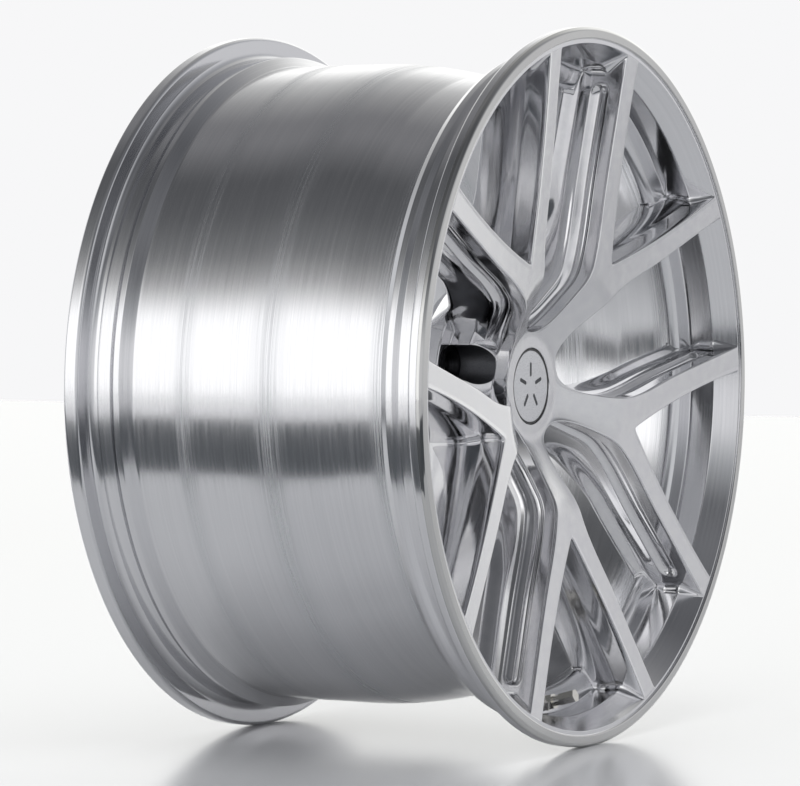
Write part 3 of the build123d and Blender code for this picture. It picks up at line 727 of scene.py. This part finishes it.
def around_axle(piece, count, first_turn, material):
    """Repeats a piece around the axle with a node tree, and leaves one plain mesh."""
    group = bpy.data.node_groups.new("repeat_around_axle", "GeometryNodeTree")
    given_values = {"Count": count, "First Turn": first_turn, "Finish": material}
    for label, kind in zip(("Geometry", *given_values), ("Geometry", "Int", "Float", "Material")):
        group.interface.new_socket(label, in_out="INPUT", socket_type="NodeSocket" + kind)
    group.interface.new_socket("Geometry", in_out="OUTPUT", socket_type="NodeSocketGeometry")
    given = add(group, "NodeGroupInput")
    cloud = add(group, "GeometryNodePoints", links={"Count": given.outputs["Count"]})
    index = add(group, "GeometryNodeInputIndex")
    step = add(group, "ShaderNodeMath", {"operation": "DIVIDE"}, {0: -2 * math.pi},
               {1: given.outputs["Count"]})
    turn = add(group, "ShaderNodeMath", {"operation": "MULTIPLY_ADD"},
               links={0: index.outputs[0], 1: step.outputs[0], 2: given.outputs["First Turn"]})
    spin = add(group, "ShaderNodeCombineXYZ", links={"Y": turn.outputs[0]})
    placed = add(group, "GeometryNodeInstanceOnPoints",
                 links={"Points": cloud.outputs[0], "Instance": given.outputs["Geometry"],
                        "Rotation": spin.outputs[0]})
    real = add(group, "GeometryNodeRealizeInstances", links={0: placed.outputs[0]})
    joined = add(group, "GeometryNodeMergeByDistance", values={"Distance": 0.01 * mm},
                 links={"Geometry": real.outputs[0]})
    coated = add(group, "GeometryNodeSetMaterial",
                 links={"Geometry": joined.outputs[0], "Material": given.outputs["Finish"]})
    add(group, "NodeGroupOutput", links={0: coated.outputs[0]})
    repeat = piece.modifiers.new("repeat", "NODES")
    repeat.node_group = group
    for item in group.interface.items_tree:
        if item.in_out == "INPUT" and item.name in given_values:
            repeat[item.identifier] = given_values[item.name]
    return baked(piece)


def baked(piece):
    """Turns a piece's modifiers into its plain mesh."""
    bpy.context.view_layer.update()
    result = bpy.data.meshes.new_from_object(piece.evaluated_get(bpy.context.evaluated_depsgraph_get()))
    piece.modifiers.clear()
    piece.data = result
    tidy_mesh(result)
    return piece


# ------------------------------------------------------------------ the forging: spokes
points, faces, marks = spoke_mesh()
spokes = new_piece("forging_spokes", points, faces, milled_metal, marks)
spokes = around_axle(spokes, spoke_count, math.pi / 2, milled_metal)

# ------------------------------------------------------------------ the forging: rim
front_foot_y = front_seat + hump_inset
rear_foot_y = rear_seat - hump_inset - hump_width
ramp_middle = ((well_radius + barrel_radius) / 2 + 2.4, (well_rear + barrel_start) / 2)


def swell(radius_off):
    """The long swelling ramp from the drop centre to the barrel, as one shallow arc."""
    places = ((well_radius, well_rear), ramp_middle, (barrel_radius, barrel_start))
    a, b, c = ((r + radius_off, y) for r, y in places)
    share = np.linspace(0, 1, 26)
    lift = (b[0] - (a[0] + c[0]) / 2) * 4
    return [(a[0] + (c[0] - a[0]) * t + lift * t * (1 - t), a[1] + (c[1] - a[1]) * t, 0.0) for t in share]


outer_profile = [
    (barrel_radius, rear_foot_y - 8.0, 3.0), (hump_radius, rear_foot_y, 1.5),
    (hump_radius, rear_foot_y + hump_width, 1.5), (seat_end_radius, rear_foot_y + 2 * hump_width, 1.5),
    (seat_radius, rear_seat, 6.5), (flange_radius, rear_seat, 3.0), (flange_radius, rear, 3.0),
    (mouth_radius, rear, 1.5), (lip_radius, rear_seat, 8.0), (lip_radius, rear_foot_y, 8.0),
    (barrel_radius - wall, rear_foot_y - 8.0, 8.0),
]
inner_profile = [
    (well_inner, step_foot_y, 8.0), (lip_radius, step_y, 1.2), (lip_radius, lip_floor, 3.0),
    (mouth_radius, mouth_y, 0.3), (lip_ring_radius, mouth_y, 0.2), (lip_ring_radius, front + 1.0, 0.2),
    (flange_radius - 1.0, front + 1.0, 1.0), (flange_radius - 1.0, front + 5.0, 0.2),
    (flange_radius, front + 5.0, 0.2), (flange_radius, front_seat, 3.0), (seat_radius, front_seat, 6.5),
    (seat_end_radius, front_foot_y - hump_width, 1.5), (hump_radius, front_foot_y, 1.5),
    (hump_radius, front_foot_y + hump_width, 1.5), (seat_end_radius, step_head_y, 1.5),
    (well_radius, well_front, 1.0),
]
rim_profile = outer_profile + swell(-wall)[::-1] + inner_profile + swell(0.0)
rim = turned("forging_rim", rounded(rim_profile), rim_segments, turned_metal)

# ------------------------------------------------------------------ the forging: hub
hub_profile = [
    (27.0, hub_face + 4.0, 0.3), (36.0, hub_face + 4.0, 0), (36.0, hub_face + 10.0, 0),
    (46.0, hub_face + 10.0, 2.0), (64.0, hub_face + 24.0, 3.0), (64.0, pad_front, 2.0),
    (pad_radius, pad_front, 1.5), (pad_radius, pad_back, 0.8), (41.0, pad_back, 0.8),
    (41.0, pad_back - 16.5, 0.3), (27.0, pad_back - 16.5, 0.8), (27.0, hub_face + 17.0, 0.5),
    (29.0, hub_face + 15.0, 0.3), (29.0, hub_face + 10.0, 0.3), (27.0, hub_face + 10.0, 0.5),
]
hub = turned("forging_hub", rounded(hub_profile), hub_segments, milled_metal)


def on_bolt_circle(angle):
    """A place on the bolt circle, in millimetres."""
    around = math.radians(angle)
    return Vector((bolt_circle * math.cos(around), 0, bolt_circle * math.sin(around)))


def drill(piece, radius, near, far, angles):
    """Cuts round holes along the axle, on the bolt circle, out of a piece."""
    cutters = []
    for angle in angles:
        outline = [(radius, near), (radius, far), (0.001, far), (0.001, near)]
        cutter = turned("cutter", outline, hole_segments, milled_metal)
        for vertex in cutter.data.vertices:
            vertex.co += on_bolt_circle(angle) * mm
        cutters.append(cutter)
    for cutter in cutters:
        cut = piece.modifiers.new("cut", "BOOLEAN")
        cut.operation = "DIFFERENCE"
        cut.solver = "EXACT"
        cut.object = cutter
    result = baked(piece)
    for cutter in cutters:
        bpy.data.objects.remove(cutter)
    return result


spoke_angles = [-90 + 360 / spoke_count * n for n in range(spoke_count)]
lug_angles = [angle + 180 / spoke_count for angle in spoke_angles]
hub = drill(hub, lug_well_radius, hub_face - 2.0, pad_front, lug_angles)
hub = drill(hub, insert_radius, pad_front - 1.0, pad_front + 13.0, lug_angles)
hub = drill(hub, bolt_hole_radius, pad_front, pad_back + 2.0, lug_angles)
hub = drill(hub, pad_recess_radius, pad_back - 8.0, pad_back + 2.0, spoke_angles)
edge_round = hub.modifiers.new("edges", "BEVEL")
edge_round.width = 0.5 * mm
edge_round.segments = 2
edge_round.limit_method = "ANGLE"
edge_round.angle_limit = math.radians(50)
hub = baked(hub)

# The wells and the pad's back are coloured dark grey and matt.
hub.data.materials.append(dark_matt_metal)
lug_places = [on_bolt_circle(angle) for angle in lug_angles]
for polygon in hub.data.polygons:
    gaps = [polygon.center / mm - place for place in lug_places]
    off = min(gaps, key=lambda gap: math.hypot(gap.x, gap.z))
    y = off.y
    off.y = 0.0
    in_well = off.length < lug_well_radius + 0.2
    on_wall = in_well and polygon.normal.dot(off.normalized()) < -0.9
    on_floor = in_well and y > pad_front - 0.6
    polygon.material_index = 1 if on_wall or on_floor or y > pad_back - 0.5 else 0

# ------------------------------------------------------------------ the stainless ring on the lip
protector_profile = [
    (lip_ring_radius + 0.3, front + 0.25, 0.2), (lip_ring_radius + 1.2, front, 1.0),
    (flange_radius - 2.2, front, 2.5), (flange_radius, front + 2.4, 1.6), (flange_radius, front + 5.0, 0.3),
    (flange_radius - 1.0, front + 5.0, 0.2), (flange_radius - 1.0, front + 2.0, 1.0),
    (flange_radius - 3.0, front + 1.0, 1.0), (lip_ring_radius + 0.3, front + 1.0, 0.2),
]
protector = turned("protector_ring", rounded(protector_profile), protector_segments, stainless)
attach(protector, "wheel")
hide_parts("rim_protector_ring")

for piece in (spokes, rim, hub):
    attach(piece, "wheel")
    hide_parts("wheel_forging")

# ------------------------------------------------------------------ the valve's spring, copied with its own finish
core_spring = bpy.data.objects.new("core_spring", nodes["valve_core_spring"].data.copy())
bpy.context.scene.collection.objects.link(core_spring)
tidy_mesh(core_spring.data)
core_spring.data.materials.clear()
core_spring.data.materials.append(wire)
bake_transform(core_spring)
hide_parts("valve_core_spring")

# ------------------------------------------------------------------ finishes of the carried parts
slots = {part["node"]: part["material_slot"] for part in frame["record"]["subparts"]}
for name, node in nodes.items():
    for index in range(len(node.material_slots)):
        node.material_slots[index].material = looks[slots[name]]
